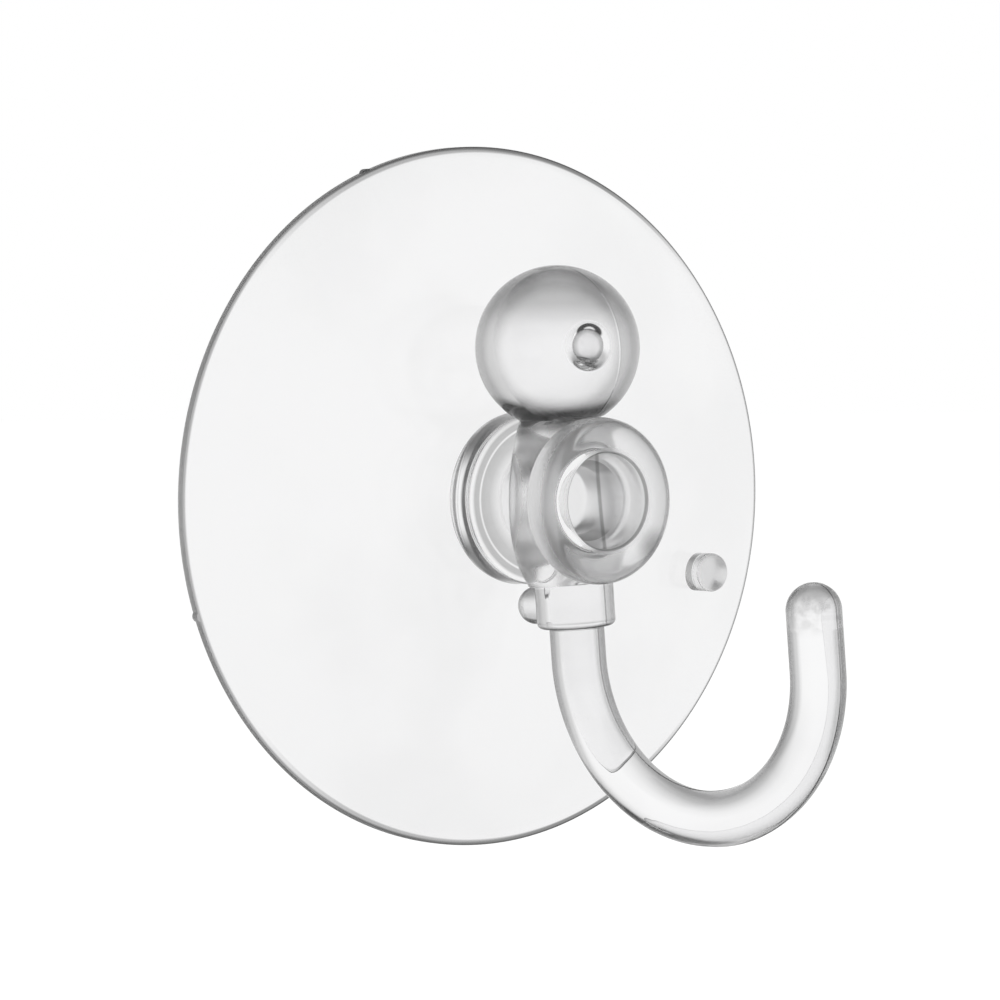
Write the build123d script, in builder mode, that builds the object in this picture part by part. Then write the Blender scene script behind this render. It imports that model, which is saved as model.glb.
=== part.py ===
from build123d import *
import math
import os

# Clear suction cup with a swivelling ball-topped hook, in millimetres.
# The wall is the plane y = 0, the cup opens towards +Y and the hook stands out towards -Y, +Z is up.

# Cup: radii from its axis, heights measured out from the wall
rim_radius = 30.0
rim_thickness = 0.85
lip_land = 0.8  # flat ring that meets the wall
hollow_depth = 4.4
crown_height = 7.0  # front skin where it meets the hub
crown_bow = 1.0
hub_radius = 7.3
hub_height = 3.0
hub_rounding = 0.7

# Neck and mushroom head that the hook is pressed over
neck_radius = 4.2
neck_root_rounding = 0.4
head_radius = 7.0
head_thickness = 2.65
head_crown_rounding = 1.45
head_back_rounding = 0.9
socket_mouth_radius = 4.1
socket_mouth_sink = 0.12
socket_throat_radius = 3.4
socket_floor_radius = 3.0
socket_depth = 6.3
socket_floor_rounding = 1.4
socket_mouth_rounding = 0.15

# Pull stub on the front skin, and the two sprue marks on the rim
stub_ring_radius = 22.3
stub_angle = -17.9
stub_radius = 1.67
stub_height = 2.4
stub_rounding = 0.35
sprue_angles = (112.5, 198.8)
sprue_radius = 0.5
sprue_proud = 0.2

# Hook: how it sits on the neck
hook_turn = 13.3  # front of the hook swings towards +X
hook_lean = 4.5  # top of the hook leans towards -X
hook_nod = 0.4  # front of the hook tips up
hub_play = 0.55  # eyelet to the hub behind it
head_play = 0.7  # eyelet to the head in front of it

# Hook: heights from the cup's axis, widths across the hook
eyelet_set_back = 0.45
eyelet_half_depth = 2.62
eyelet_clearance = 0.75  # neck to the wall of the eye
eyelet_side_wall = 1.45
eyelet_sole_wall = 2.05
sole_half_width = 4.3
post_half_width = 3.5
post_sink = 1.83  # how far the post runs up into the ball
fullness_above = ((1.0, 0.0), (0.71, 0.46), (0.355, 0.83), (0.0, 1.0))  # share of height, share of belly
fullness_below = ((0.41, 0.95), (0.754, 0.6), (1.0, 0.0))
ball_height = 12.85
ball_radius = 6.93
bubble_half_length = 1.45  # air bubble trapped in the ball
bubble_half_height = 1.62
bubble_out = 2.6
bubble_up = 0.05
collar_radius = 3.32
collar_bottom = 10.75
collar_overlap = 1.95
collar_rounding = 1.0
lug_radius = 1.6
lug_rise = 1.8  # above the collar's lower edge
lug_reach = 4.3
rod_radius = 2.32
shank_length = 2.73  # straight stretch under the collar
back_bend_radius = 13.23
front_bend_radius = 12.46
tip_rise = 5.0

eye_radius = neck_radius + eyelet_clearance
eyelet_half_width = eye_radius + eyelet_side_wall
eyelet_top = ball_height - ball_radius + post_sink
eyelet_sole = eye_radius + eyelet_sole_wall
turn_angle = math.radians(hook_turn)
eyelet_reach = math.hypot(
    eyelet_half_depth * math.cos(turn_angle), eyelet_half_width * math.sin(turn_angle)
)  # half the room that the turned eyelet takes along the neck
lug_drop = collar_bottom - lug_rise
shank_drop = collar_bottom + shank_length

hub_front = crown_height + hub_height
hook_stand_off = hub_front + hub_play + eyelet_reach + eyelet_set_back * math.cos(turn_angle)
head_back = hub_front + hub_play + 2 * eyelet_reach + head_play
head_front = head_back + head_thickness


def arc_through(start, end, bow):
    """Arc between two points whose middle stands out from the chord by bow."""
    chord = Vector(*end) - Vector(*start)
    middle = (Vector(*start) + Vector(*end)) * 0.5
    side = Vector(-chord.Y, chord.X).normalized()
    return ThreePointArc(start, middle + side * bow, end)


def front_skin_height(radius):
    """Height of the cup's front skin at a radius, on the same arc as its profile."""
    run = rim_radius - hub_radius
    rise = crown_height - rim_thickness
    chord = math.hypot(run, rise)
    share = (radius - hub_radius) / run
    straight = crown_height - rise * share
    return straight + crown_bow * 4 * share * (1 - share) * chord / run


# Suction cup: one turned profile, radius along X and height out from the wall along -Y
with BuildPart() as suction_cup:
    with BuildSketch(Plane.XY) as cup_section:
        with BuildLine():
            skin = arc_through((rim_radius, -rim_thickness), (hub_radius, -crown_height), crown_bow)
            stem = Polyline(
                skin @ 1,
                (hub_radius, -hub_front),
                (neck_radius, -hub_front),
                (neck_radius, -head_back),
                (head_radius, -head_back),
                (head_radius, -head_front),
                (socket_mouth_radius, -(head_front - socket_mouth_sink)),
                (socket_throat_radius, -head_back),
                (socket_floor_radius, -(head_front - socket_depth)),
                (0, -(head_front - socket_depth)),
                (0, -hollow_depth),
            )
            hollow = TangentArc((0, -hollow_depth), (rim_radius - lip_land, 0), tangent=(1, 0))
            Polyline(hollow @ 1, (rim_radius, 0), skin @ 0)
        make_face()
        for radius, height, rounding in (
            (hub_radius, hub_front, hub_rounding),
            (neck_radius, hub_front, neck_root_rounding),
            (neck_radius, head_back, neck_root_rounding),
            (head_radius, head_back, head_back_rounding),
            (head_radius, head_front, head_crown_rounding),
            (socket_mouth_radius, head_front - socket_mouth_sink, socket_mouth_rounding),
            (socket_floor_radius, head_front - socket_depth, socket_floor_rounding),
        ):
            corner = cup_section.vertices().sort_by_distance((radius, -height))[0]
            fillet(corner, rounding)
    revolve(axis=Axis.Y)

    # Pull stub, rooted in the skin and drawn straight out with the mould
    stub_turn = math.radians(stub_angle)
    stub_x = stub_ring_radius * math.cos(stub_turn)
    stub_z = stub_ring_radius * math.sin(stub_turn)
    stub_root = front_skin_height(stub_ring_radius) - rim_thickness / 2
    stub_base = Plane((stub_x, -stub_root, stub_z), x_dir=(1, 0, 0), z_dir=(0, -1, 0))
    with BuildSketch(stub_base):
        Circle(stub_radius)
    extrude(amount=stub_height + rim_thickness / 2)
    stub_end = suction_cup.edges().filter_by(GeomType.CIRCLE).sort_by_distance(
        (stub_x, -stub_root - stub_height - rim_thickness / 2, stub_z)
    )[0]
    fillet(stub_end, stub_rounding)

    # Sprue marks left where the rim was trimmed from the runner
    for angle in sprue_angles:
        reach = rim_radius + sprue_proud - sprue_radius
        turn = math.radians(angle)
        mark = Plane((reach * math.cos(turn), 0, reach * math.sin(turn)), x_dir=(1, 0, 0), z_dir=(0, -1, 0))
        with BuildSketch(mark):
            Circle(sprue_radius)
        extrude(amount=rim_thickness)

suction_cup.part.label = "suction_cup"

# Hook frame: X out from the wall along the hook, Y up the hook, Z across it
hook_out = Vector(0, -1, 0).rotate(Axis.X, -hook_nod).rotate(Axis.Z, hook_turn).rotate(Axis.Y, -hook_lean)
hook_across = Vector(-1, 0, 0).rotate(Axis.Z, hook_turn).rotate(Axis.Y, -hook_lean)
hook_plane = Plane((0, -hook_stand_off, 0), x_dir=hook_out, z_dir=hook_across)


def level(height, out=0.0):
    """Plane square to the hook's length, at a height above the cup's axis."""
    origin = hook_plane.from_local_coords((out, height, 0))
    return Plane(origin, x_dir=hook_plane.x_dir, z_dir=hook_plane.y_dir)


with BuildPart() as hook:
    # Eyelet: oval sections, wide at the neck and narrowing to the post above and the collar below
    above = [(eyelet_top * share, post_half_width, fullness) for share, fullness in fullness_above]
    below = [(-eyelet_sole * share, sole_half_width, fullness) for share, fullness in fullness_below]
    for height, end_half_width, fullness in above + below:
        half_width = end_half_width + (eyelet_half_width - end_half_width) * fullness
        with BuildSketch(level(height, -eyelet_set_back)):
            Ellipse(eyelet_half_depth, half_width)
    loft()

    # Ball on top
    with Locations(hook_plane.from_local_coords((0, ball_height, 0))):
        Sphere(ball_radius)

    # Air bubble in the ball, slightly flattened along the hook
    bubble_centre = hook_plane.from_local_coords((bubble_out, ball_height + bubble_up, 0))
    with BuildSketch(Plane(bubble_centre, x_dir=hook_plane.x_dir, z_dir=hook_plane.z_dir)):
        with BuildLine():
            bubble_edge = EllipticalCenterArc((0, 0), bubble_half_length, bubble_half_height, arc_size=180)
            Line(bubble_edge @ 1, bubble_edge @ 0)
        make_face()
    revolve(axis=Axis(bubble_centre, hook_plane.x_dir), mode=Mode.SUBTRACT)

    # Collar under the eyelet, with its lower edge rounded
    with BuildSketch(level(-collar_bottom)):
        Circle(collar_radius)
    extrude(amount=collar_bottom - eye_radius - collar_overlap)
    collar_edge = hook.edges().filter_by(GeomType.CIRCLE).sort_by_distance(
        hook_plane.from_local_coords((0, -collar_bottom, 0))
    )[0]
    fillet(collar_edge, collar_rounding)

    # Lug behind the collar
    lug_centre = hook_plane.from_local_coords((-lug_reach, -lug_drop, 0))
    with Locations(lug_centre):
        Sphere(lug_radius)
    with BuildSketch(Plane(lug_centre, x_dir=hook_plane.y_dir, z_dir=hook_plane.x_dir)):
        Circle(lug_radius)
    extrude(amount=lug_reach)

    # Eye for the neck
    with BuildSketch(Plane(hook_plane.origin, x_dir=hook_plane.y_dir, z_dir=hook_plane.x_dir)):
        Circle(eye_radius)
    extrude(amount=eyelet_half_depth + eyelet_set_back + rod_radius, both=True, mode=Mode.SUBTRACT)

    # Rod: down the shank, round the two bends and up to the tip
    with BuildLine(hook_plane) as rod_line:
        shank = Line((0, -collar_bottom + collar_rounding), (0, -shank_drop))
        back_bend = TangentArc(
            shank @ 1, (back_bend_radius, -shank_drop - back_bend_radius), tangent=shank % 1
        )
        front_bend = TangentArc(
            back_bend @ 1,
            back_bend @ 1 + hook_plane.x_dir * front_bend_radius + hook_plane.y_dir * front_bend_radius,
            tangent=back_bend % 1,
        )
        Line(front_bend @ 1, front_bend @ 1 + hook_plane.y_dir * tip_rise)
    with BuildSketch(level(-collar_bottom + collar_rounding)):
        Circle(rod_radius)
    sweep(path=rod_line.line)
    with Locations(rod_line.line @ 1):
        Sphere(rod_radius)

hook.part.label = "hook"

os.makedirs("parts", exist_ok=True)
export_step(suction_cup.part, "parts/suction_cup.step")
export_step(hook.part, "parts/hook.step")
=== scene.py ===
import bpy
import bmesh
import math
from mathutils import Matrix, Vector


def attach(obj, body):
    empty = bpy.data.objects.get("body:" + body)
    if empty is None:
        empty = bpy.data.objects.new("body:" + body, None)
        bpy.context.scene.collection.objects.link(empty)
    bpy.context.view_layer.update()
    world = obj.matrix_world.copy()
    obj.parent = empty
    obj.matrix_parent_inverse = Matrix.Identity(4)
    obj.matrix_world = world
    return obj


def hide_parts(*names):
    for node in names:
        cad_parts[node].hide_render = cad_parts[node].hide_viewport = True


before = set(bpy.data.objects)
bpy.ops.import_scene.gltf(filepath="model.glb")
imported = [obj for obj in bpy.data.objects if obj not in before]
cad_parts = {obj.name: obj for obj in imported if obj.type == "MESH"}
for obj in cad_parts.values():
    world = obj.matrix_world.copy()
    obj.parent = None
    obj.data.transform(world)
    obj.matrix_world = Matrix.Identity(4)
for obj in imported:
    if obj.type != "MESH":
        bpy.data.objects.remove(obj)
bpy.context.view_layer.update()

# Clear suction cup with a swivelling ball-topped hook. The wall is the plane y = 0, +Z is up.
# Sizes in the dictionaries are in millimetres and degrees.

scene = bpy.context.scene
millimetre = 0.001


# Outlines, as lists of (radius, height) points

def bowedLine(start, end, bow, steps):
    # shallow arc whose middle stands bow away from its chord
    first = Vector(start)
    chord = Vector(end) - first
    side = Vector((chord.y, -chord.x)).normalized()
    shares = [i / steps for i in range(steps + 1)]
    return [first + chord * t + side * bow * 4 * t * (1 - t) for t in shares]


def roundedOutline(corners, arcSteps):
    # corners are (radius, height, rounding)
    points = []
    for i, (x, y, rounding) in enumerate(corners):
        here = Vector((x, y))
        if rounding <= 0 or i in (0, len(corners) - 1):
            points.append(here)
            continue
        before = Vector(corners[i - 1][:2]) - here
        after = Vector(corners[i + 1][:2]) - here
        u = before.normalized()
        v = after.normalized()
        half = math.acos(max(-1, min(1, u.dot(v)))) / 2
        back = min(rounding / math.tan(half), before.length * 0.5, after.length * 0.5)
        radius = back * math.tan(half)
        centre = here + (u + v).normalized() * (radius / math.sin(half))
        first = here + u * back - centre
        last = here + v * back - centre
        sweep = first.angle_signed(last)
        for k in range(arcSteps + 1):
            points.append(centre + Matrix.Rotation(-sweep * k / arcSteps, 2) @ first)
    return points


def evenlyFilled(points, longest):
    # adds points until no two neighbours are further apart than longest
    filled = [points[0]]
    for a, b in zip(points, points[1:]):
        pieces = max(1, math.ceil((b - a).length / longest))
        filled += [a.lerp(b, k / pieces) for k in range(1, pieces + 1)]
    return filled


def quarterTurn(steps, first=1):
    return [math.pi / 2 * i / steps for i in range(first, steps + 1)]


# Short ways to build node trees

def newTree(name, kind, inputs, outputs):
    tree = bpy.data.node_groups.new(name, kind)
    for socketName, socketKind, value in inputs:
        socket = tree.interface.new_socket(name=socketName, in_out="INPUT", socket_type=socketKind)
        if value is not None:
            socket.default_value = value
    for socketName, socketKind in outputs:
        tree.interface.new_socket(name=socketName, in_out="OUTPUT", socket_type=socketKind)
    return tree


class Wires:
    # adds and joins nodes in one tree; a value is a number, a colour or another node's socket

    def __init__(self, tree):
        self.tree = tree

    def node(self, kind, **settings):
        made = self.tree.nodes.new(kind)
        for key, value in settings.items():
            setattr(made, key, value)
        return made

    def feed(self, socket, value):
        if isinstance(value, bpy.types.NodeSocket):
            self.tree.links.new(value, socket)
        else:
            socket.default_value = value

    def number(self, operation, *values):
        made = self.node("ShaderNodeMath", operation=operation)
        for socket, value in zip(made.inputs, values):
            self.feed(socket, value)
        return made.outputs[0]

    def times(self, first, *others):
        for other in others:
            first = self.number("MULTIPLY", first, other)
        return first

    def vector(self, operation, *values, output=0):
        made = self.node("ShaderNodeVectorMath", operation=operation)
        for socket, value in zip(made.inputs, values):
            self.feed(socket, value)
        return made.outputs[output]

    def scaled(self, value, factor):
        made = self.node("ShaderNodeVectorMath", operation="SCALE")
        self.feed(made.inputs[0], value)
        self.feed(made.inputs["Scale"], factor)
        return made.outputs[0]

    def ease(self, value, low, high):
        # 0 on the low side, 1 on the high side, smooth between
        made = self.node("ShaderNodeMapRange", interpolation_type="SMOOTHSTEP")
        self.feed(made.inputs["Value"], value)
        for key, end in (("From Min", low), ("From Max", high), ("To Min", 0.0), ("To Max", 1.0)):
            made.inputs[key].default_value = end
        return made.outputs["Result"]

    def span(self, value, start, full, fade, end):
        # 1 from full to fade, 0 outside start and end
        return self.times(self.ease(value, start, full), self.ease(value, end, fade))

    def steps(self, value, places):
        # level by place, straight between the places
        made = self.node("ShaderNodeFloatCurve")
        low = min(at for at, level in places)
        high = max(at for at, level in places)
        curve = made.mapping.curves[0]
        points = sorted(((at - low) / (high - low), level) for at, level in places)
        while len(curve.points) < len(points):
            curve.points.new(0.5, 0.5)
        for point, (at, level) in zip(curve.points, points):
            point.location = (at, level)
            point.handle_type = "VECTOR"
        made.mapping.update()
        share = self.number("DIVIDE", self.number("SUBTRACT", value, low), high - low)
        self.feed(made.inputs["Value"], share)
        return made.outputs[0]

    def ramp(self, value, stops, interpolation="LINEAR"):
        # colour by place, from stops of (place, colour)
        made = self.node("ShaderNodeValToRGB")
        made.color_ramp.interpolation = interpolation
        while len(made.color_ramp.elements) < len(stops):
            made.color_ramp.elements.new(0.5)
        for element, (at, colour) in zip(made.color_ramp.elements, stops):
            element.position = at
            element.color = (colour[0], colour[1], colour[2], 1)
        self.feed(made.inputs["Fac"], value)
        return made.outputs["Color"]

    def blend(self, share, a, b):
        # plain number between a and b
        made = self.node("ShaderNodeMix", data_type="FLOAT")
        for socket, value in zip(made.inputs[0:1] + made.inputs[2:4], (share, a, b)):
            self.feed(socket, value)
        return made.outputs[0]

    def shaded(self, masks):
        # masks are (mask, level): each darkens to its own level where it lies, and 1 is left elsewhere
        shade = 1.0
        for mask, level in masks:
            shade = self.times(shade, self.blend(mask, 1.0, level))
        return shade

    def mixed(self, share, first, second):
        # two shaders
        mix = self.node("ShaderNodeMixShader")
        self.feed(mix.inputs["Fac"], share)
        self.feed(mix.inputs[1], first.outputs[0])
        self.feed(mix.inputs[2], second.outputs[0])
        return mix

    def group(self, tree, **values):
        made = self.node("ShaderNodeGroup", node_tree=tree)
        for key, value in values.items():
            self.feed(made.inputs[key], value)
        return made


# One tree skins a row of rings: each point of the input chain carries its ring's two half axes

def buildRingTree():
    tree = newTree("ringSkin", "GeometryNodeTree", (
        ("Rings", "NodeSocketGeometry", None),
        ("Around", "NodeSocketInt", 96),  # points round each ring
        ("Crowding", "NodeSocketFloat", 0.0),  # how much those points gather at the parting line
        ("Ridge Height", "NodeSocketFloat", 0.0),
        ("Ridge Width", "NodeSocketFloat", 0.0001),
        ("Pole Merge", "NodeSocketFloat", 0.0000001),
        ("Material", "NodeSocketMaterial", None),
    ), (("Skin", "NodeSocketGeometry"),))
    w = Wires(tree)
    given = w.node("NodeGroupInput").outputs

    def named(name, kind):
        made = w.node("GeometryNodeInputNamedAttribute", data_type=kind)
        made.inputs["Name"].default_value = name
        return made.outputs["Attribute"]

    # a circle whose points know their own angle
    circle = w.node("GeometryNodeCurvePrimitiveCircle")
    w.feed(circle.inputs["Radius"], 0.001)
    w.feed(circle.inputs["Resolution"], given["Around"])
    index = w.node("GeometryNodeInputIndex").outputs[0]
    even = w.times(w.number("DIVIDE", index, given["Around"]), 2 * math.pi)
    pull = w.times(w.number("SINE", w.times(even, 2.0)), given["Crowding"])
    keep = w.node("GeometryNodeStoreNamedAttribute", data_type="FLOAT", domain="POINT")
    w.feed(keep.inputs["Name"], "ringAngle")
    w.feed(keep.inputs["Geometry"], circle.outputs["Curve"])
    w.feed(keep.inputs["Value"], w.number("SUBTRACT", even, w.times(pull, 0.5)))

    # the circle runs down the chain
    spine = w.node("GeometryNodeMeshToCurve")
    w.feed(spine.inputs["Mesh"], given["Rings"])
    skin = w.node("GeometryNodeCurveToMesh")
    w.feed(skin.inputs["Curve"], spine.outputs["Curve"])
    w.feed(skin.inputs["Profile Curve"], keep.outputs["Geometry"])

    # each point goes to its ring's centre and half axes, with a ridge where the mould parts
    angle = named("ringAngle", "FLOAT")
    across = named("ringAcross", "FLOAT_VECTOR")
    outPart = w.scaled(named("ringOut", "FLOAT_VECTOR"), w.number("COSINE", angle))
    reach = w.vector("ADD", outPart, w.scaled(across, w.number("SINE", angle)))
    aside = w.times(w.number("SINE", angle), w.vector("LENGTH", across, output=1))
    share = w.number("DIVIDE", aside, given["Ridge Width"])
    ridge = w.times(w.number("EXPONENT", w.times(share, share, -1.0)), given["Ridge Height"])
    raised = w.vector("ADD", reach, w.scaled(w.vector("NORMALIZE", reach), ridge))
    move = w.node("GeometryNodeSetPosition")
    w.feed(move.inputs["Geometry"], skin.outputs["Mesh"])
    w.feed(move.inputs["Position"], w.vector("ADD", raised, named("ringCentre", "FLOAT_VECTOR")))

    merge = w.node("GeometryNodeMergeByDistance")
    w.feed(merge.inputs["Geometry"], move.outputs["Geometry"])
    w.feed(merge.inputs["Distance"], given["Pole Merge"])
    real = w.node("GeometryNodeRealizeInstances")
    w.feed(real.inputs["Geometry"], merge.outputs["Geometry"])
    coat = w.node("GeometryNodeSetMaterial")
    w.feed(coat.inputs["Geometry"], real.outputs["Geometry"])
    w.feed(coat.inputs["Material"], given["Material"])
    w.feed(w.node("NodeGroupOutput").inputs["Skin"], coat.outputs["Geometry"])
    return tree


ringTree = buildRingTree()
print("stage: ring tree built")


# Meshes

def plainMesh(thing):
    bpy.context.view_layer.update()
    return bpy.data.meshes.new_from_object(thing.evaluated_get(bpy.context.evaluated_depsgraph_get()))


def faceOutwards(mesh):
    work = bmesh.new()
    work.from_mesh(mesh)
    bmesh.ops.remove_doubles(work, verts=work.verts, dist=1e-8)
    bmesh.ops.recalc_face_normals(work, faces=work.faces)
    if work.calc_volume(signed=True) < 0:
        bmesh.ops.reverse_faces(work, faces=work.faces)
    work.to_mesh(mesh)
    work.free()


def skinRings(name, rings, around, material, crowding=0.0, ridge=0.0, ridgeWidth=0.1):
    # rings are (centre, half axis out, half axis across), in metres
    mesh = bpy.data.meshes.new(name)
    mesh.from_pydata([ring[0] for ring in rings], [(i, i + 1) for i in range(len(rings) - 1)], [])
    for column, key in enumerate(("ringCentre", "ringOut", "ringAcross")):
        values = mesh.attributes.new(key, "FLOAT_VECTOR", "POINT")
        values.data.foreach_set("vector", [v for ring in rings for v in ring[column]])
    draft = bpy.data.objects.new(name + "Rings", mesh)
    scene.collection.objects.link(draft)
    modifier = draft.modifiers.new("ringSkin", "NODES")
    modifier.node_group = ringTree
    sockets = {s.name: s.identifier for s in ringTree.interface.items_tree if s.in_out == "INPUT"}
    modifier[sockets["Around"]] = around
    modifier[sockets["Crowding"]] = crowding
    modifier[sockets["Ridge Height"]] = ridge * millimetre
    modifier[sockets["Ridge Width"]] = ridgeWidth * millimetre
    modifier[sockets["Material"]] = material
    solid = plainMesh(draft)
    draft.modifiers.remove(modifier)
    bpy.data.objects.remove(draft)
    for key in ("ringCentre", "ringOut", "ringAcross", "ringAngle"):
        if key in solid.attributes:
            solid.attributes.remove(solid.attributes[key])
    faceOutwards(solid)
    solid.name = name
    piece = bpy.data.objects.new(name, solid)
    scene.collection.objects.link(piece)
    return piece


def combine(piece, other, operation):
    # joins or cuts a piece with another closed one, and leaves a plain mesh
    cut = piece.modifiers.new("combine", "BOOLEAN")
    cut.operation = operation
    cut.solver = "EXACT"
    cut.object = other
    solid = plainMesh(piece)
    piece.modifiers.remove(cut)
    old = piece.data
    piece.data = solid
    bpy.data.meshes.remove(old)
    bpy.data.objects.remove(other)


def addVoid(piece, hollow):
    # a closed inner skin that faces the air inside it
    work = bmesh.new()
    work.from_mesh(hollow.data)
    bmesh.ops.reverse_faces(work, faces=work.faces)
    work.to_mesh(hollow.data)
    work.free()
    work = bmesh.new()
    work.from_mesh(piece.data)
    work.from_mesh(hollow.data)
    work.to_mesh(piece.data)
    work.free()
    bpy.data.objects.remove(hollow)


def smoothSkin(piece, sharpAngle):
    piece.data.shade_smooth()
    piece.data.set_sharp_from_angle(angle=math.radians(sharpAngle))
    piece.data.update()


# Effects that both clear plastics share

def buildAxisGroup():
    # distance from a line, and the way along it
    group = newTree("axisDistance", "ShaderNodeTree", (
        ("Place", "NodeSocketVector", (0, 0, 0)),
        ("Through", "NodeSocketVector", (0, 0, 0)),
        ("Direction", "NodeSocketVector", (0, 1, 0)),
    ), (("Distance", "NodeSocketFloat"), ("Along", "NodeSocketFloat")))
    w = Wires(group)
    given = w.node("NodeGroupInput").outputs
    result = w.node("NodeGroupOutput").inputs
    arm = w.vector("SUBTRACT", given["Place"], given["Through"])
    w.feed(result["Along"], w.vector("DOT_PRODUCT", arm, given["Direction"], output=1))
    turned = w.vector("CROSS_PRODUCT", arm, given["Direction"])
    w.feed(result["Distance"], w.vector("LENGTH", turned, output=1))
    return group


def buildFlowGroup():
    # soft waves that the mould leaves in a clear skin, as a height and as a mottled mask
    group = newTree("mouldFlow", "ShaderNodeTree", (
        ("Place", "NodeSocketVector", (0, 0, 0)),
        ("Scale", "NodeSocketFloat", 300.0),
    ), (("Height", "NodeSocketFloat"), ("Mottle", "NodeSocketFloat")))
    w = Wires(group)
    given = w.node("NodeGroupInput").outputs
    result = w.node("NodeGroupOutput").inputs
    waves = w.node("ShaderNodeTexNoise")
    w.feed(waves.inputs["Vector"], given["Place"])
    w.feed(waves.inputs["Scale"], given["Scale"])
    w.feed(waves.inputs["Detail"], 1.5)
    w.feed(waves.inputs["Distortion"], 0.6)
    w.feed(result["Height"], waves.outputs[0])
    clouds = w.node("ShaderNodeTexNoise")
    w.feed(clouds.inputs["Vector"], given["Place"])
    w.feed(clouds.inputs["Scale"], w.times(given["Scale"], 0.45))
    w.feed(clouds.inputs["Detail"], 3.0)
    w.feed(result["Mottle"], w.ease(clouds.outputs[0], 0.42, 0.66))
    return group


def buildSpeckGroup():
    # sparse dust and tiny bubbles caught in the skin
    group = newTree("dustSpecks", "ShaderNodeTree", (
        ("Place", "NodeSocketVector", (0, 0, 0)),
        ("Scale", "NodeSocketFloat", 260.0),
        ("Size", "NodeSocketFloat", 0.05),
        ("Share", "NodeSocketFloat", 0.03),
    ), (("Mask", "NodeSocketFloat"),))
    w = Wires(group)
    given = w.node("NodeGroupInput").outputs
    result = w.node("NodeGroupOutput").inputs
    cells = w.node("ShaderNodeTexVoronoi")
    w.feed(cells.inputs["Vector"], given["Place"])
    w.feed(cells.inputs["Scale"], given["Scale"])
    pick = w.node("ShaderNodeSeparateColor")
    w.feed(pick.inputs[0], cells.outputs["Color"])
    chosen = w.number("LESS_THAN", pick.outputs[0], given["Share"])
    size = w.times(given["Size"], w.number("ADD", pick.outputs[1], 0.5))
    near = w.number("LESS_THAN", cells.outputs["Distance"], size)
    w.feed(result["Mask"], w.times(chosen, near))
    return group


def buildScratchGroup():
    # hair-fine handling marks, longer than they are wide
    group = newTree("fineScratches", "ShaderNodeTree", (
        ("Place", "NodeSocketVector", (0, 0, 0)),
        ("Stretch", "NodeSocketVector", (1, 1, 1)),
        ("Scale", "NodeSocketFloat", 900.0),
    ), (("Mask", "NodeSocketFloat"),))
    w = Wires(group)
    given = w.node("NodeGroupInput").outputs
    result = w.node("NodeGroupOutput").inputs
    lines = w.node("ShaderNodeTexNoise")
    w.feed(lines.inputs["Vector"], w.vector("MULTIPLY", given["Place"], given["Stretch"]))
    w.feed(lines.inputs["Scale"], given["Scale"])
    w.feed(lines.inputs["Detail"], 2.0)
    w.feed(result["Mask"], w.ease(lines.outputs[0], 0.63, 0.72))
    return group


axisGroup = buildAxisGroup()
flowGroup = buildFlowGroup()
speckGroup = buildSpeckGroup()
scratchGroup = buildScratchGroup()


def clearMaterial(name, look, zones):
    # clear moulded plastic that bends what is behind it, and lets lamp light through to the floor;
    # zones adds its own masks: a painted shade, a roughness, and how strongly the painted limb shade shows
    material = bpy.data.materials.new(name)
    material.use_nodes = True
    material.node_tree.nodes.clear()
    w = Wires(material.node_tree)
    plastic = w.node("ShaderNodeBsdfPrincipled")
    plastic.inputs["IOR"].default_value = look["ior"]
    plastic.inputs["Transmission Weight"].default_value = 1.0
    plastic.inputs["Specular Tint"].default_value = look["shine"]
    place = w.node("ShaderNodeTexCoord").outputs["Object"]
    flow = w.group(flowGroup, Place=place, Scale=look["flowScale"])
    specks = w.group(speckGroup, Place=place, Scale=look["speckScale"], Share=look["speckShare"])
    marks = w.group(scratchGroup, Place=place, Stretch=look["scratchStretch"])
    shade, roughness, edge = zones(w, place)

    # painted shade: the skin greys where it turns away from the view, in place of the dark limbs that
    # refraction gives
    facing = w.node("ShaderNodeLayerWeight")
    facing.inputs["Blend"].default_value = 0.5
    paintedLimb = [(at, [level * part for part in look["tint"]]) for at, level in look["limbShadeStops"]]
    tint = w.ramp(w.times(facing.outputs["Facing"], edge), paintedLimb, "EASE")
    cloudy = w.blend(flow.outputs["Mottle"], 1.0, look["mottle"])
    dusty = w.blend(specks.outputs["Mask"], 1.0, look["speckShade"])
    # the base colour carries the painted limb shade and the zones' painted shade, with the real mottle and
    # dust
    w.feed(plastic.inputs["Base Color"], w.vector("MULTIPLY", tint, w.times(cloudy, dusty, shade)))
    worn = w.times(marks.outputs["Mask"], look["scratchRoughness"])
    w.feed(plastic.inputs["Roughness"], w.number("ADD", roughness, worn))
    bump = w.node("ShaderNodeBump")
    bump.inputs["Strength"].default_value = look["flowStrength"]
    bump.inputs["Distance"].default_value = look["flowDepth"] * millimetre
    w.feed(bump.inputs["Height"], flow.outputs["Height"])
    w.feed(plastic.inputs["Normal"], bump.outputs[0])

    through = w.node("ShaderNodeBsdfTransparent")
    through.inputs["Color"].default_value = look["shadowTint"]
    rays = w.node("ShaderNodeLightPath").outputs
    soft = w.number("MAXIMUM", rays["Is Shadow Ray"], rays["Is Diffuse Ray"])
    w.feed(w.node("ShaderNodeOutputMaterial").inputs["Surface"], w.mixed(soft, plastic, through).outputs[0])
    return material


print("stage: shared effects ready")


# Suction cup: one turned skin, from the middle of the hollow round the rim to the floor of the head's socket

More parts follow.
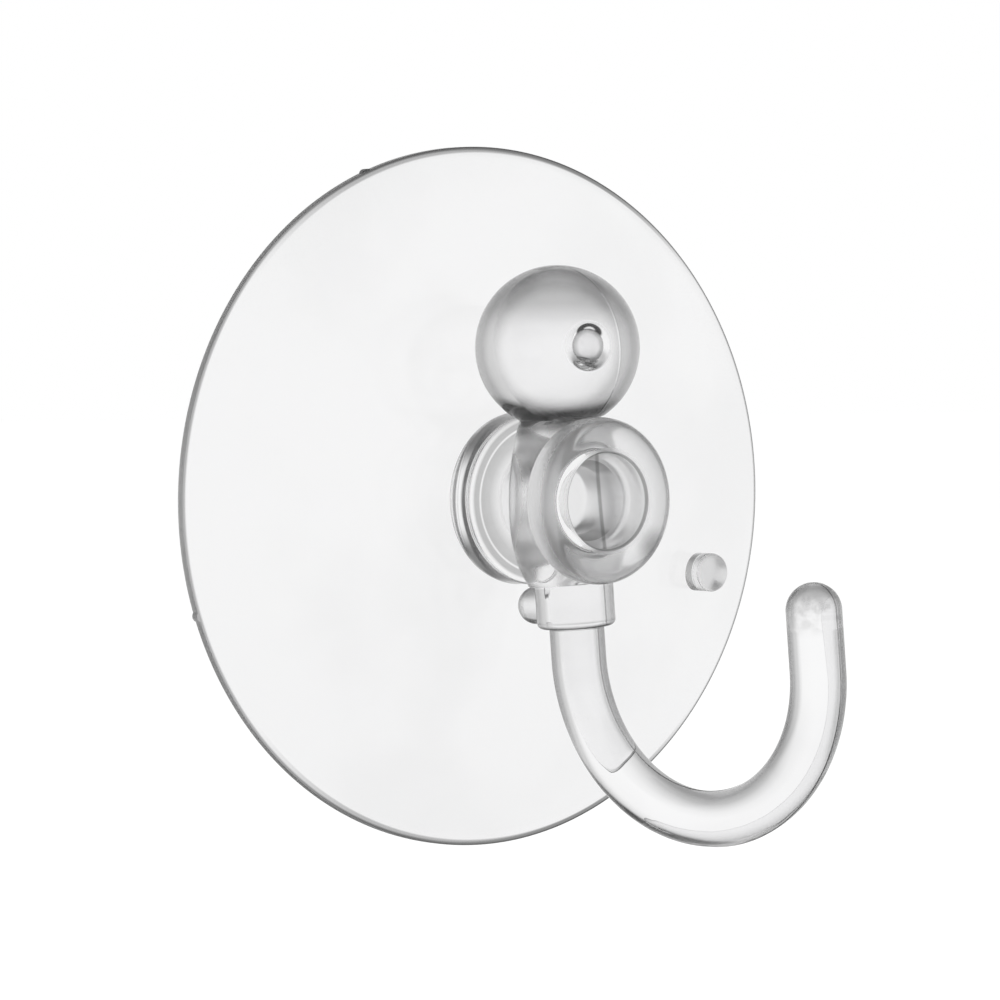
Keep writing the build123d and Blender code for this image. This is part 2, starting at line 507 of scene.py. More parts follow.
cup = {
    "rimRadius": 30.0,
    "rimThickness": 0.85,
    "lipLand": 0.8,  # flat ring that meets the wall
    "lipRounding": 0.1,
    "rimRounding": 0.15,
    "hollowDepth": 4.4,
    "crownHeight": 7.0,
    "crownBow": 1.0,
    "hubRadius": 7.3,
    "hubHeight": 3.0,
    "hubFootRounding": 0.1,
    "hubRounding": 0.7,
    "neckRadius": 4.2,
    "neckRootRounding": 0.4,
    "headRadius": 7.0,
    "headThickness": 2.65,
    "headCrownRounding": 1.45,
    "headBackRounding": 0.9,
    "socketMouthRadius": 4.1,
    "socketMouthSink": 0.12,
    "socketMouthRounding": 0.15,
    "socketThroatRadius": 3.4,
    "socketThroatRounding": 0.6,
    "socketFloorRadius": 3.0,
    "socketFloorRounding": 1.4,
    "socketDepth": 6.3,
    "stubRing": 22.3,
    "stubAngle": -17.9,
    "stubRadius": 1.67,
    "stubHeight": 2.4,
    "stubFootRounding": 0.02,
    "stubRounding": 0.35,
    "sprueAngles": (112.5, 198.8),
    "sprueRadius": 0.5,
    "sprueProud": 0.2,
    "sprueInset": 0.02,  # below the rim's two faces
    "sprueRounding": 0.08,
    "around": 288,
    "hollowSteps": 60,
    "crownSteps": 90,
    "crownTrim": (4, -3),  # crown points that give way to the roundings at its two ends
    "rimSteps": 5,
    "roundingSteps": 9,
    "longestStep": 0.4,
    "stubAround": 64,
    "stubSteps": 6,
    "stubLongestStep": 0.25,
    "sprueAround": 32,
    "sprueSteps": 3,
}
vinylLook = {
    "tint": (0.915, 0.915, 0.918),
    # painted shade at the limb: its level by how far the skin turns away
    "limbShadeStops": [(0.0, 1.0), (0.46, 1.0), (0.56, 0.42), (0.75, 0.25), (1.0, 0.3)],
    "shine": (0.5, 0.5, 0.5, 1),
    "ior": 1.53,
    "shadowTint": (0.93, 0.93, 0.93, 1),
    "flowScale": 130.0,
    "flowStrength": 0.12,
    "flowDepth": 0.3,
    "mottle": 0.96,
    "speckScale": 330.0,
    "speckShare": 0.012,
    "speckShade": 0.35,
    "scratchStretch": (1, 1, 0.12),
    "scratchRoughness": 0.05,
}
# where the cup's skin differs in roughness and in painted shade; four numbers are the start, full, fade and
# end of a stretch
cupZones = {
    "wall": (29.74, 29.92),  # the rim's cut edge, by distance from the axis: rougher, and darkened with painted shade
    "wallShade": 0.26,
    "wallRoughness": 0.35,
    "rimSkin": (29.42, 29.6),  # painted shade on the skin next to it, at the top and the foot of the disc
    "rimSkinFrom": (0.6, 0.95),
    "rimSkinShade": 0.3,
    "disc": (7.3, 8.0),
    "discRoughness": 0.1,
    "neckSkin": (4.6, 4.4),
    "neckFrom": (-0.1, 0.1),  # by height over the hub
    "neckRoughness": 0.28,
    "backSkin": (-0.3, -0.1, 0.5, 0.9),  # by height over the head's back
    "backRoughness": 0.22,
    "headFrom": (-0.3, -0.1),
    "headRim": (5.2, 7.0),  # painted shade: the head greys towards its rim, between these radii
    "headRimShade": 0.66,
    "headEdge": 0.4,  # how much of the painted limb shade shows there
    "mouthLine": (3.85, 4.0, 4.14, 4.24),  # painted shade: a dark line round the socket's mouth
    "mouthFrom": (-0.5, -0.35),  # by height over the head's front
    "mouthLineShade": 0.22,
    # painted shade deep in the socket, by radius and by height
    "socketSkin": (4.15, 4.0),
    "socketFrom": (13.0, 13.3),
    "socketTo": (-0.3, -0.6),
    "socketShade": 0.86,
    "paintedStreakSlant": (1.419, -1, 0.15),  # painted shade: a faint dark line slanting down the socket
    "paintedStreakLine": (18.2, 18.5, 18.75, 19.0),
    "paintedStreakShade": 0.3,
    "paintedPatchPlace": (4.7, 0.6, -3.9),  # painted shade: a dark patch low in the head; its place across, in from its front, and up
    "paintedPatch": (2.3, 0.5),
    "paintedPatchShade": 0.3,
    "stubSkin": (20.2, 20.4),
    "stubEnd": (-0.2, -0.05),
    "stubEndRoughness": 0.5,
    "stubEndShade": 0.75,
    "hubSide": (6.9, 7.1, 7.4, 7.6),
    "hubLine": (1.5, 1.8, 2.25, 2.4),  # painted shade: a dark line round the hub, by height over the crown
    "hubBand": (0.1, 0.6, 2.25, 2.4),  # painted shade in a wide band that takes its place towards top and bottom
    "hubBandFrom": (1.8, 4.4),
    "hubBandShade": 0.14,
    "hubFaceSpan": (-0.25, -0.05, 0.1, 0.3),  # painted shade in faint rings on the hub's front, by height and by radius
    "hubFace": ((7.0, 1.0), (6.8, 0.35), (6.4, 0.35), (6.25, 1.0), (6.1, 0.35), (5.3, 0.45), (4.9, 0.62)),
}


def skinHeight(radius):
    # height of the crown's front skin above the wall
    c = cup
    run = c["rimRadius"] - c["hubRadius"]
    rise = c["crownHeight"] - c["rimThickness"]
    share = (radius - c["hubRadius"]) / run
    bow = c["crownBow"] * 4 * share * (1 - share) * math.hypot(run, rise) / run
    return c["crownHeight"] - rise * share + bow


def vinylZones(w, place):
    z = cupZones
    axis = w.group(axisGroup, Place=place)
    reach = w.number("DIVIDE", axis.outputs["Distance"], millimetre)
    height = w.number("DIVIDE", axis.outputs["Along"], -millimetre)
    upDown = w.number("ABSOLUTE", w.vector("DOT_PRODUCT", place, (0, 0, 1 / millimetre), output=1))
    overCrown = w.number("SUBTRACT", height, cup["crownHeight"])
    overHub = w.number("SUBTRACT", height, hubFront)
    overBack = w.number("SUBTRACT", height, headBack)
    overHead = w.number("SUBTRACT", height, headFront)
    overStub = w.number("SUBTRACT", height, skinHeight(cup["stubRing"]) + cup["stubHeight"])

    wall = w.ease(reach, *z["wall"])
    steep = w.ease(w.number("DIVIDE", upDown, reach), *z["rimSkinFrom"])
    rimSkin = w.times(w.ease(reach, *z["rimSkin"]), steep)
    disc = w.ease(reach, *z["disc"])
    wideBand = w.times(w.span(overCrown, *z["hubBand"]), w.ease(upDown, *z["hubBandFrom"]))
    hubBand = w.number("MAXIMUM", w.span(overCrown, *z["hubLine"]), wideBand)
    hubSide = w.times(hubBand, w.span(reach, *z["hubSide"]))
    hubFace = w.span(overHub, *z["hubFaceSpan"])
    neck = w.times(w.ease(reach, *z["neckSkin"]), w.ease(overHub, *z["neckFrom"]))
    back = w.span(overBack, *z["backSkin"])
    head = w.ease(overBack, *z["headFrom"])
    headRim = w.times(head, w.ease(reach, *z["headRim"]))
    mouth = w.times(w.span(reach, *z["mouthLine"]), w.ease(overHead, *z["mouthFrom"]))
    inDepth = w.times(w.ease(height, *z["socketFrom"]), w.ease(overHead, *z["socketTo"]))
    socket = w.times(w.ease(reach, *z["socketSkin"]), inDepth)
    # painted shade: a faint dark streak slanting down the socket
    slant = w.vector("DOT_PRODUCT", place, Vector(z["paintedStreakSlant"]) / millimetre, output=1)
    paintedStreak = w.times(socket, w.span(slant, *z["paintedStreakLine"]))
    # painted shade: a dark patch low in the head
    across, sunk, up = z["paintedPatchPlace"]
    off = w.vector("DISTANCE", place, Vector((across, sunk - headFront, up)) * millimetre, output=1)
    paintedPatch = w.ease(w.number("DIVIDE", off, millimetre), *z["paintedPatch"])
    stubEnd = w.times(w.ease(reach, *z["stubSkin"]), w.ease(overStub, *z["stubEnd"]))

    shade = w.shaded((
        (wall, z["wallShade"]),
        (headRim, z["headRimShade"]),
        (hubSide, z["hubBandShade"]),
        (rimSkin, z["rimSkinShade"]),
        (hubFace, w.steps(reach, z["hubFace"])),
        (mouth, z["mouthLineShade"]),
        (stubEnd, z["stubEndShade"]),
        (paintedStreak, z["paintedStreakShade"]),
        (socket, z["socketShade"]),
        (paintedPatch, z["paintedPatchShade"]),
    ))
    inner = w.number("MAXIMUM", w.times(neck, z["neckRoughness"]), w.times(back, z["backRoughness"]))
    skin = w.blend(disc, inner, z["discRoughness"])
    roughness = w.blend(stubEnd, w.blend(wall, skin, z["wallRoughness"]), z["stubEndRoughness"])
    edge = w.times(w.number("SUBTRACT", 1.0, disc), w.blend(head, 1.0, z["headEdge"]))
    return shade, roughness, edge


def cupOutline():
    c = cup
    floor = headFront - c["socketDepth"]
    reach = c["rimRadius"] - c["lipLand"]
    domeRadius = (reach ** 2 + c["hollowDepth"] ** 2) / (2 * c["hollowDepth"])
    hollow = []
    for i in range(c["hollowSteps"] + 1):
        r = reach * i / c["hollowSteps"]
        hollow.append(Vector((r, math.sqrt(domeRadius ** 2 - r ** 2) - domeRadius + c["hollowDepth"])))
    rimEdge = (c["rimRadius"], c["rimThickness"])
    hubFoot = (c["hubRadius"], c["crownHeight"])
    crown = bowedLine(rimEdge, hubFoot, c["crownBow"], c["crownSteps"])
    first, last = c["crownTrim"]
    edge = roundedOutline([
        (reach, 0, 0),
        (c["rimRadius"], 0, c["lipRounding"]),
        (*rimEdge, c["rimRounding"]),
        (*crown[first], 0),
    ], c["rimSteps"])
    stem = roundedOutline([
        (*crown[last], 0),
        (*hubFoot, c["hubFootRounding"]),
        (c["hubRadius"], hubFront, c["hubRounding"]),
        (c["neckRadius"], hubFront, c["neckRootRounding"]),
        (c["neckRadius"], headBack, c["neckRootRounding"]),
        (c["headRadius"], headBack, c["headBackRounding"]),
        (c["headRadius"], headFront, c["headCrownRounding"]),
        (c["socketMouthRadius"], headFront - c["socketMouthSink"], c["socketMouthRounding"]),
        (c["socketThroatRadius"], headBack, c["socketThroatRounding"]),
        (c["socketFloorRadius"], floor, c["socketFloorRounding"]),
        (0, floor, 0),
    ], c["roundingSteps"])
    return hollow[:-1] + edge[:-1] + crown[first:last] + evenlyFilled(stem, c["longestStep"])


def turnedRings(outline, x=0.0, z=0.0):
    # rings round a line that stands out from the wall, from (radius, height) points
    rings = []
    for r, h in outline:
        centre = Vector((x, -h, z)) * millimetre
        rings.append((centre, Vector((r, 0, 0)) * millimetre, Vector((0, 0, r)) * millimetre))
    return rings


def makeStub():
    c = cup
    turn = math.radians(c["stubAngle"])
    root = skinHeight(c["stubRing"]) - c["rimThickness"] / 2
    top = skinHeight(c["stubRing"]) + c["stubHeight"]
    side = roundedOutline([
        (0, root, 0),
        (c["stubRadius"], root, c["stubFootRounding"]),
        (c["stubRadius"], top, c["stubRounding"]),
        (0, top, 0),
    ], c["stubSteps"])
    side = evenlyFilled(side, c["stubLongestStep"])
    rings = turnedRings(side, c["stubRing"] * math.cos(turn), c["stubRing"] * math.sin(turn))
    return skinRings("pullStub", rings, c["stubAround"], clearVinyl)


def makeSprueMark(angle):
    c = cup
    turn = math.radians(angle)
    reach = c["rimRadius"] + c["sprueProud"] - c["sprueRadius"]
    low = c["sprueInset"]
    high = c["rimThickness"] - c["sprueInset"]
    side = roundedOutline([
        (0, low, 0),
        (c["sprueRadius"], low, c["sprueRounding"]),
        (c["sprueRadius"], high, c["sprueRounding"]),
        (0, high, 0),
    ], c["sprueSteps"])
    rings = turnedRings(side, reach * math.cos(turn), reach * math.sin(turn))
    return skinRings("sprueMark", rings, c["sprueAround"], clearVinyl)


def makeCup():
    piece = skinRings("suctionCup", turnedRings(cupOutline()), cup["around"], clearVinyl)
    combine(piece, makeStub(), "UNION")
    for angle in cup["sprueAngles"]:
        combine(piece, makeSprueMark(angle), "UNION")
    return piece


# Hook: rings down one line, from the ball's top through eyelet and collar, round the J to its tip

hook = {
    "turn": 13.3,
    "lean": 4.5,
    "nod": 0.4,
    "hubPlay": 0.55,  # eyelet to the hub behind it, and to the head in front of it
    "headPlay": 0.7,
    "eyeletSetBack": 0.45,
    "eyeletHalfDepth": 2.62,
    "eyeletHalfWidth": 6.4,
    "eyeRadius": 4.95,
    "drillReach": 8,
    "soleDrop": 7.0,
    "soleHalfWidth": 4.3,
    "postHalfWidth": 3.5,
    "fullness": (  # share of the eyelet's belly by height
        (7.75, 0.0), (5.5, 0.46), (2.75, 0.83), (0.0, 1.0),
        (-2.87, 0.95), (-5.28, 0.6), (-6.7, 0.12), (-7.0, 0.0),
    ),
    "ballHeight": 12.85,
    "ballRadius": 6.93,
    "ballTrim": 0.02,  # radians between the ball's last ring and the post
    "postTrim": 0.3,  # from the ball's last ring down to the post's first
    "bubbleHalfLength": 1.45,
    "bubbleHalfHeight": 1.62,
    "bubbleOut": 2.6,
    "bubbleUp": 0.05,
    "collarRadius": 3.32,
    "collarDrop": 10.75,
    "collarRounding": 1.0,
    "collarStep": 0.001,  # keeps its first ring off the eyelet's last
    "rodRootRounding": 0.15,
    "lugRadius": 1.6,
    "lugDrop": 8.95,
    "lugReach": 4.3,
    "lugRoot": (-3.4, -2.6, -1.8),
    "rodRadius": 2.32,
    "shankDrop": 13.48,
    "backBend": 13.23,
    "frontBend": 12.46,
    "tipRise": 5.0,
    "partingRidge": 0.035,
    "partingWidth": 0.07,
    "around": 192,
    "crowding": 0.8,
    "ballSteps": 72,
    "eyeletSteps": 14,
    "roundingSteps": 9,
    "longestStep": 0.4,
    "bendSteps": 60,
    "armSteps": 12,
    "tipSteps": 24,
    "drillAround": 160,
    "lugAround": 72,
    "lugSteps": 24,
    "bubbleAround": 64,
    "bubbleSteps": 40,
}
plasticLook = {
    "tint": (0.95, 0.949, 0.953),
    # painted shade at the limb: its level by how far the skin turns away
    "limbShadeStops": [(0.0, 1.0), (0.2, 0.97), (0.4, 0.46), (0.62, 0.2), (0.85, 0.13), (1.0, 0.05)],
    "shine": (0.42, 0.42, 0.42, 1),
    "ior": 1.57,
    "shadowTint": (0.9, 0.9, 0.9, 1),
    "flowScale": 240.0,
    "flowStrength": 0.1,
    "flowDepth": 0.3,
    "mottle": 0.94,
    "speckScale": 420.0,
    "speckShare": 0.012,
    "speckShade": 0.5,
    "scratchStretch": (1, 1, 0.08),
    "scratchRoughness": 0.04,
}
# where the hook's skin differs in roughness, marks and painted shade; heights are over the eye, along the
# hook
hookZones = {
    "bore": (5.1, 5.0),  # inside of the eye: rougher, with painted shade
    "boreRoughness": 0.34,
    "boreShade": 0.9,
    "rubbedFrom": (1.6, 2.2),  # the side that rubs on the head, and the one on the hub
    "rubbedSkin": (7.6, 6.8),
    "rubbedRoughness": 0.26,
    "eyeletSpan": (-7.4, -6.9, 6.2, 7.6),  # painted shade: a greyer stretch round the eye
    "eyeletShade": 0.98,
    # how much of the painted limb shade shows round the eye
    "eyeletEdge": 0.4,
    "rodFrom": (-10.6, -10.9),
    "rodBend": (-23.0, -17.0),
    "rodEdge": (0.72, 1.3),  # painted limb shade of the rod, in its bends and in its arms
    # painted shade along the rounding at the collar's foot
    "collarFoot": (-10.95, -10.8, -10.6, -10.35),
    "collarSkin": (2.35, 2.5, 6.0, 7.0),
    "collarFootShade": 0.3,
    "ballFoot": (9.4, 6.6),  # painted shade: the ball darkens towards its foot
    "ballFootEnd": (5.6, 6.4),
    "ballFootShade": 0.2,
    "seamHalf": (0.14, 0.05),  # parting line, by distance from the hook's own plane; the ridge is real, its dark line is painted shade
    "seamFrom": (-7.0, -7.2),
    "seamShade": 0.3,
    "tipOut": (20.0, 21.0),
    "tipFrom": (-11.5, -9.5),  # rougher end of the rod
    "tipGrain": 1500.0,
    "tipRoughness": 0.3,
    "tipShade": 0.6,
    "gate": (0.45, 0.25),  # gate mark on the ball's top
    "gateFrom": (19.0, 19.2),
    "gateShade": 0.3,
}
turnAngle = math.radians(hook["turn"])
eyeletReach = math.hypot(
    hook["eyeletHalfDepth"] * math.cos(turnAngle), hook["eyeletHalfWidth"] * math.sin(turnAngle)
)  # half the room that the turned eyelet takes along the neck
hubFront = cup["crownHeight"] + cup["hubHeight"]
hookStandOff = hubFront + hook["hubPlay"] + eyeletReach + hook["eyeletSetBack"] * math.cos(turnAngle)
headBack = hubFront + hook["hubPlay"] + 2 * eyeletReach + hook["headPlay"]
headFront = headBack + cup["headThickness"]
hookTurn = (
    Matrix.Rotation(math.radians(-hook["lean"]), 3, "Y")
    @ Matrix.Rotation(turnAngle, 3, "Z")
    @ Matrix.Rotation(math.radians(-hook["nod"]), 3, "X")
)
hookOut = hookTurn @ Vector((0, -1, 0))
hookUp = hookTurn @ Vector((0, 0, 1))
hookAcross = hookTurn @ Vector((-1, 0, 0))
hookSeat = Vector((0, -hookStandOff, 0)) * millimetre


def plasticZones(w, place):
    z = hookZones
    eye = w.group(axisGroup, Place=place, Through=hookSeat, Direction=hookOut)
    fromEye = w.number("DIVIDE", eye.outputs["Distance"], millimetre)
    out = w.number("DIVIDE", eye.outputs["Along"], millimetre)
    tall = w.group(axisGroup, Place=place, Through=hookSeat, Direction=hookUp)
    fromShank = w.number("DIVIDE", tall.outputs["Distance"], millimetre)
    up = w.number("DIVIDE", tall.outputs["Along"], millimetre)
    arm = w.vector("SUBTRACT", place, hookSeat)
    aside = w.number("ABSOLUTE", w.vector("DOT_PRODUCT", arm, hookAcross / millimetre, output=1))

    bore = w.ease(fromEye, *z["bore"])
    rubbed = w.times(w.ease(w.number("ABSOLUTE", out), *z["rubbedFrom"]), w.ease(fromEye, *z["rubbedSkin"]))
    eyelet = w.span(up, *z["eyeletSpan"])
    ballFoot = w.times(w.ease(up, *z["ballFoot"]), w.ease(up, *z["ballFootEnd"]))
    seam = w.times(w.ease(aside, *z["seamHalf"]), w.ease(up, *z["seamFrom"]))
    gate = w.times(w.ease(fromShank, *z["gate"]), w.ease(up, *z["gateFrom"]))
    collarFoot = w.times(w.span(up, *z["collarFoot"]), w.span(fromShank, *z["collarSkin"]))
    rod = w.ease(up, *z["rodFrom"])
    tip = w.times(w.ease(out, *z["tipOut"]), w.ease(up, *z["tipFrom"]))
    speckled = w.times(tip, w.group(flowGroup, Place=place, Scale=z["tipGrain"]).outputs["Mottle"])

    shade = w.shaded((
        (bore, z["boreShade"]),
        (eyelet, z["eyeletShade"]),
        (ballFoot, z["ballFootShade"]),
        (seam, z["seamShade"]),
        (speckled, z["tipShade"]),
        (gate, z["gateShade"]),
        (collarFoot, z["collarFootShade"]),
    ))
    dull = w.number("MAXIMUM", w.times(bore, z["boreRoughness"]), w.times(rubbed, z["rubbedRoughness"]))
    roughness = w.number("MAXIMUM", dull, w.times(speckled, z["tipRoughness"]))
    rodEdge = w.blend(w.ease(up, *z["rodBend"]), *z["rodEdge"])
    edge = w.times(w.blend(eyelet, 1.0, z["eyeletEdge"]), w.blend(rod, 1.0, rodEdge))
    return shade, roughness, edge


def onHook(out, up, across=0.0):
    return hookSeat + (hookOut * out + hookUp * up + hookAcross * across) * millimetre


def hookRing(out, up, halfDepth, halfWidth, tilt=0.0):
    # ring square to the hook's line: tilt turns it in the hook's own plane
    outward = hookOut * math.cos(tilt) + hookUp * math.sin(tilt)
    return (onHook(out, up), outward * halfDepth * millimetre, hookAcross * halfWidth * millimetre)


def outwardRing(out, up, radius):
    # ring round a line that runs out along the hook
    return (onHook(out, up), hookUp * radius * millimetre, hookAcross * radius * millimetre)


def smoothThrough(points, spans):
    # Catmull-Rom curve through rows of numbers
    rows = []
    for i in range(len(points) - 1):
        near = (points[max(i - 1, 0)], points[i], points[i + 1], points[min(i + 2, len(points) - 1)])
        for k in range(spans):
            t = k / spans
            row = []
            for a, b, c, d in zip(*near):
                bend = (2 * a - 5 * b + 4 * c - d) * t ** 2
                twist = (3 * b - a - 3 * c + d) * t ** 3
                row.append(0.5 * (2 * b + (c - a) * t + bend + twist))
            rows.append(row)
    rows.append(list(points[-1]))
    return rows


def ballAndEyeletRings():
    h = hook
    rings = []
    leave = math.pi - math.asin(h["postHalfWidth"] / h["ballRadius"]) - h["ballTrim"]
    for i in range(h["ballSteps"] + 1):
        a = leave * i / h["ballSteps"]
        r = h["ballRadius"] * math.sin(a)
        rings.append(hookRing(0, h["ballHeight"] + h["ballRadius"] * math.cos(a), r, r))
    ballFoot = h["ballHeight"] + h["ballRadius"] * math.cos(leave)
    levels = []
    for up, fullness in h["fullness"]:
        end = h["postHalfWidth"] if up > 0 else h["soleHalfWidth"]
        levels.append((up, end + (h["eyeletHalfWidth"] - end) * fullness))
    for up, width in smoothThrough(levels, h["eyeletSteps"]):
        if up < ballFoot - h["postTrim"]:
            rings.append(hookRing(-h["eyeletSetBack"], up, h["eyeletHalfDepth"], width))
    return rings


def collarRings():
    h = hook
    outline = roundedOutline([
        (h["collarRadius"], -h["soleDrop"], 0),
        (h["collarRadius"], -h["collarDrop"], h["collarRounding"]),
        (h["rodRadius"], -h["collarDrop"], h["rodRootRounding"]),
        (h["rodRadius"], -h["shankDrop"], 0),
    ], h["roundingSteps"])
    rings = []
    for r, up in evenlyFilled(outline, h["longestStep"]):
        rings.append(hookRing(0, up - h["collarStep"] if r == h["collarRadius"] else up, r, r))
    return rings


def rodRings():
    h = hook
    back = h["backBend"]
    front = h["frontBend"]
    rod = h["rodRadius"]
    low = -h["shankDrop"] - back
    armFoot = low + front
    rings = []
    for a in quarterTurn(h["bendSteps"]):
        rings.append(hookRing(back * (1 - math.cos(a)), -h["shankDrop"] - back * math.sin(a), rod, rod, a))
    for a in quarterTurn(h["bendSteps"]):
        up = low + front * (1 - math.cos(a))
        rings.append(hookRing(back + front * math.sin(a), up, rod, rod, math.pi / 2 + a))
    for i in range(1, h["armSteps"] + 1):
        rings.append(hookRing(back + front, armFoot + h["tipRise"] * i / h["armSteps"], rod, rod, math.pi))
    for a in quarterTurn(h["tipSteps"]):
        r = rod * math.cos(a)
        rings.append(hookRing(back + front, armFoot + h["tipRise"] + rod * math.sin(a), r, r, math.pi))
    return rings


def makeEyeDrill():
    r = hook["eyeRadius"]
    reach = hook["drillReach"]
    walls = [outwardRing(reach * share, 0, r) for share in (-1, -0.5, 0, 0.5, 1)]
    rings = [outwardRing(-reach, 0, 0)] + walls + [outwardRing(reach, 0, 0)]
    return skinRings("eyeDrill", rings, hook["drillAround"], clearPlastic)


def makeLug():
    h = hook
    r = h["lugRadius"]
    places = [(-h["lugReach"] - r * math.cos(a), r * math.sin(a)) for a in quarterTurn(h["lugSteps"], 0)]
    places += [(out, r) for out in h["lugRoot"]] + [(h["lugRoot"][-1], 0)]
    rings = [outwardRing(out, -h["lugDrop"], size) for out, size in places]
    return skinRings("lug", rings, h["lugAround"], clearPlastic)


def makeBubble():
    h = hook
    rings = []
    for i in range(h["bubbleSteps"] + 1):
        a = math.pi * i / h["bubbleSteps"]
        out = h["bubbleOut"] - h["bubbleHalfLength"] * math.cos(a)
        rings.append(outwardRing(out, h["ballHeight"] + h["bubbleUp"], h["bubbleHalfHeight"] * math.sin(a)))
    return skinRings("bubble", rings, h["bubbleAround"], clearPlastic)


def makeHook():
    h = hook
    rings = ballAndEyeletRings() + collarRings() + rodRings()
    parting = (h["crowding"], h["partingRidge"], h["partingWidth"])
    piece = skinRings("ballHook", rings, h["around"], clearPlastic, *parting)
    combine(piece, makeEyeDrill(), "DIFFERENCE")
    combine(piece, makeLug(), "UNION")
    addVoid(piece, makeBubble())
    return piece


# Both pieces, each in place of its own node

clearVinyl = clearMaterial("clearSoftVinyl", vinylLook, vinylZones)
suctionCup = makeCup()
print("stage: suction cup skinned")

clearPlastic = clearMaterial("clearHardPlastic", plasticLook, plasticZones)
ballHook = makeHook()
print("stage: hook skinned")

sharpFrom = 38  # edges turn sharp past this angle
for piece, node, body, slot in (
    (suctionCup, "suction_cup", "cup", "clear_soft_vinyl"),
    (ballHook, "hook", "hook", "clear_hard_plastic"),
):
    smoothSkin(piece, sharpFrom)
    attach(piece, body)
    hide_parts(node)
    print("piece", piece.name, "triangles", sum(len(f.vertices) - 2 for f in piece.data.polygons))


# Camera at the photograph's angle, and the studio

view = {
    "azimuth": -35.19,
    "elevation": 1.56,
    "distance": 523.0,
    "pixelsPerMillimetre": 11.625,  # at the rim's centre
    "aimRight": 2.313,  # what the frame's middle looks at, from the rim's centre
    "aimUp": -0.332,
    "framePixels": 1000,
    "sensorWidth": 36.0,
}


def makeCamera():
    a = math.radians(view["azimuth"])
    e = math.radians(view["elevation"])
    back = Vector((math.sin(a) * math.cos(e), -math.cos(a) * math.cos(e), math.sin(e)))
    right = Vector((math.cos(a), math.sin(a), 0))
    aim = right * view["aimRight"] + back.cross(right) * view["aimUp"]
    data = bpy.data.cameras.new("studioCamera")
    data.sensor_fit = "HORIZONTAL"
    data.sensor_width = view["sensorWidth"]
    data.lens = data.sensor_width * view["distance"] * view["pixelsPerMillimetre"] / view["framePixels"]
    data.clip_start = 0.01
    data.clip_end = 20
    camera = bpy.data.objects.new("studioCamera", data)
    scene.collection.objects.link(camera)
    camera.location = (aim + back * view["distance"]) * millimetre
    camera.rotation_euler = back.to_track_quat("Z", "Y").to_euler()
    scene.camera = camera


studio = {
    "floorDrop": 60.0,
    "floorHalfSize": 4000.0,
    "floorGrey": 0.5,
    "floorGlow": 0.62,
    "plainLevel": 0.8,
    # light by height above the horizon in degrees, as the clear plastic bends and mirrors it
    "heightStops": [
        (-90, 0.9), (-66, 0.85), (-48, 0.58), (-38, 0.54), (-27, 0.6), (-20, 0.77), (-13, 0.93),
        (-5, 1.0), (30, 1.0), (34, 0.93), (41, 0.06), (61, 0.04), (70, 0.85), (90, 1.0),
    ],
    "lampPlace": (-0.2, -0.5, 1.2),  # metres
    "lampSize": 0.8,
    "lampPower": 4,
    "bounces": 24,
    "glossyBounces": 12,
}


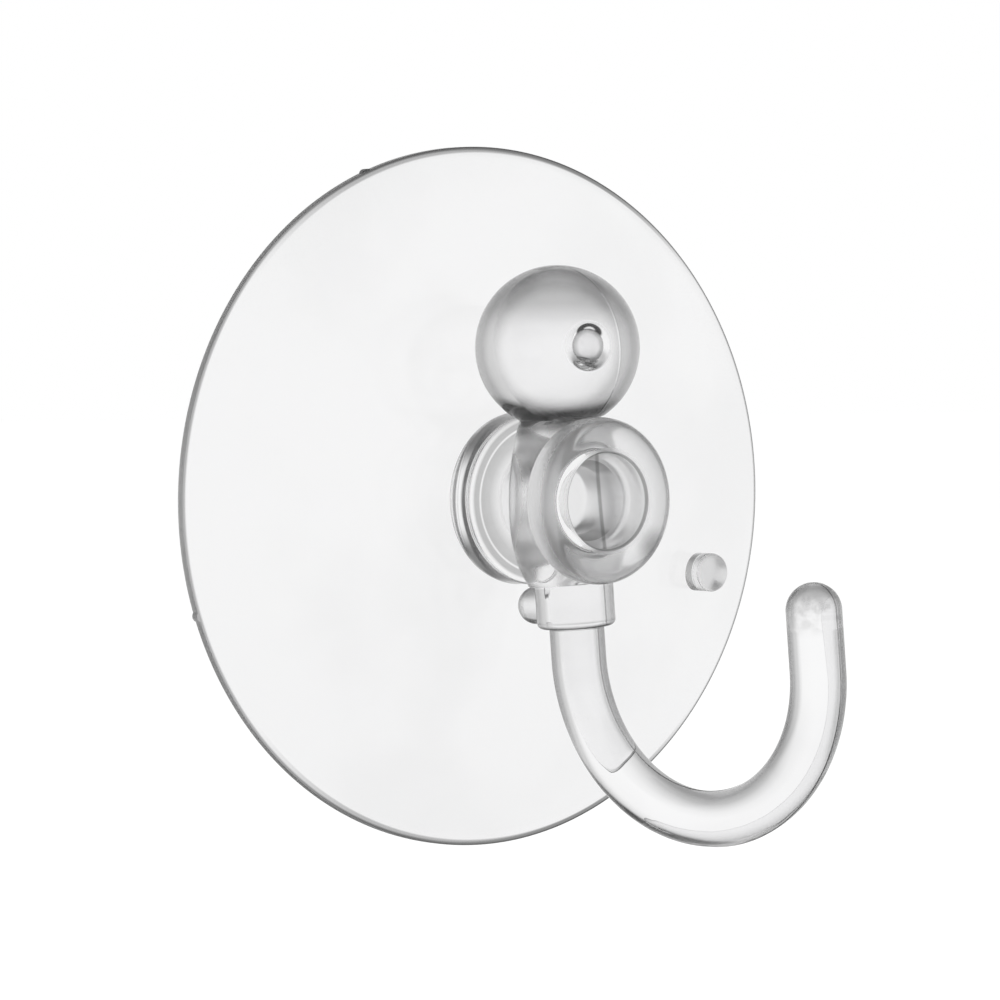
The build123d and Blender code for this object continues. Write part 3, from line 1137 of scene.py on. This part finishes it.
def makeWorld():
    world = bpy.data.worlds.new("studio")
    scene.world = world
    world.use_nodes = True
    world.node_tree.nodes.clear()
    w = Wires(world.node_tree)
    rays = w.node("ShaderNodeLightPath").outputs
    split = w.node("ShaderNodeSeparateXYZ")
    w.feed(split.inputs[0], w.node("ShaderNodeTexCoord").outputs["Generated"])
    height = w.node("ShaderNodeMapRange")
    w.feed(height.inputs["Value"], w.number("ARCSINE", split.outputs["Z"]))
    w.feed(height.inputs["From Min"], -math.pi / 2)
    w.feed(height.inputs["From Max"], math.pi / 2)
    stops = [((degrees + 90) / 180, (level, level, level)) for degrees, level in studio["heightStops"]]
    bands = w.ramp(height.outputs["Result"], stops)

    def backdrop(colour):
        background = w.node("ShaderNodeBackground")
        w.feed(background.inputs["Color"], colour)
        return background

    plain = studio["plainLevel"]
    light = backdrop((plain, plain, plain, 1))
    for kind, colour in (
        ("Is Glossy Ray", bands),
        ("Is Transmission Ray", bands),
        ("Is Camera Ray", (1, 1, 1, 1)),
    ):
        light = w.mixed(rays[kind], light, backdrop(colour))
    w.feed(w.node("ShaderNodeOutputWorld").inputs["Surface"], light.outputs[0])


def makeFloor():
    drop = -studio["floorDrop"] * millimetre
    size = studio["floorHalfSize"] * millimetre
    mesh = bpy.data.meshes.new("paleFloor")
    corners = [(-size, -size, drop), (size, -size, drop), (size, size, drop), (-size, size, drop)]
    mesh.from_pydata(corners, [], [(0, 1, 2, 3)])
    floor = bpy.data.objects.new("paleFloor", mesh)
    scene.collection.objects.link(floor)
    floor.visible_transmission = False
    floor.visible_glossy = False
    material = bpy.data.materials.new("palePaper")
    material.use_nodes = True
    material.node_tree.nodes.clear()
    w = Wires(material.node_tree)
    grey = studio["floorGrey"]
    paper = w.node("ShaderNodeBsdfDiffuse")
    w.feed(paper.inputs["Color"], (grey, grey, grey, 1))
    glow = w.node("ShaderNodeEmission")
    seen = w.node("ShaderNodeLightPath").outputs["Is Camera Ray"]
    w.feed(glow.inputs["Strength"], w.times(seen, studio["floorGlow"]))
    both = w.node("ShaderNodeAddShader")
    w.feed(both.inputs[0], paper.outputs[0])
    w.feed(both.inputs[1], glow.outputs[0])
    w.feed(w.node("ShaderNodeOutputMaterial").inputs["Surface"], both.outputs[0])
    mesh.materials.append(material)


def addSoftLight(name, place, aim, size, power):
    data = bpy.data.lights.new(name, "AREA")
    data.shape = "DISK"
    data.size = size
    data.energy = power
    lamp = bpy.data.objects.new(name, data)
    scene.collection.objects.link(lamp)
    lamp.location = place
    lamp.rotation_euler = (Vector(place) - Vector(aim)).to_track_quat("Z", "Y").to_euler()
    lamp.visible_camera = False
    lamp.visible_glossy = False
    lamp.visible_transmission = False


makeCamera()
makeWorld()
makeFloor()
addSoftLight("overheadSoftLight", studio["lampPlace"], (0, 0, 0), studio["lampSize"], studio["lampPower"])

scene.view_settings.view_transform = "Standard"
scene.cycles.max_bounces = studio["bounces"]
scene.cycles.transmission_bounces = studio["bounces"]
scene.cycles.glossy_bounces = studio["glossyBounces"]
print("stage: studio ready")
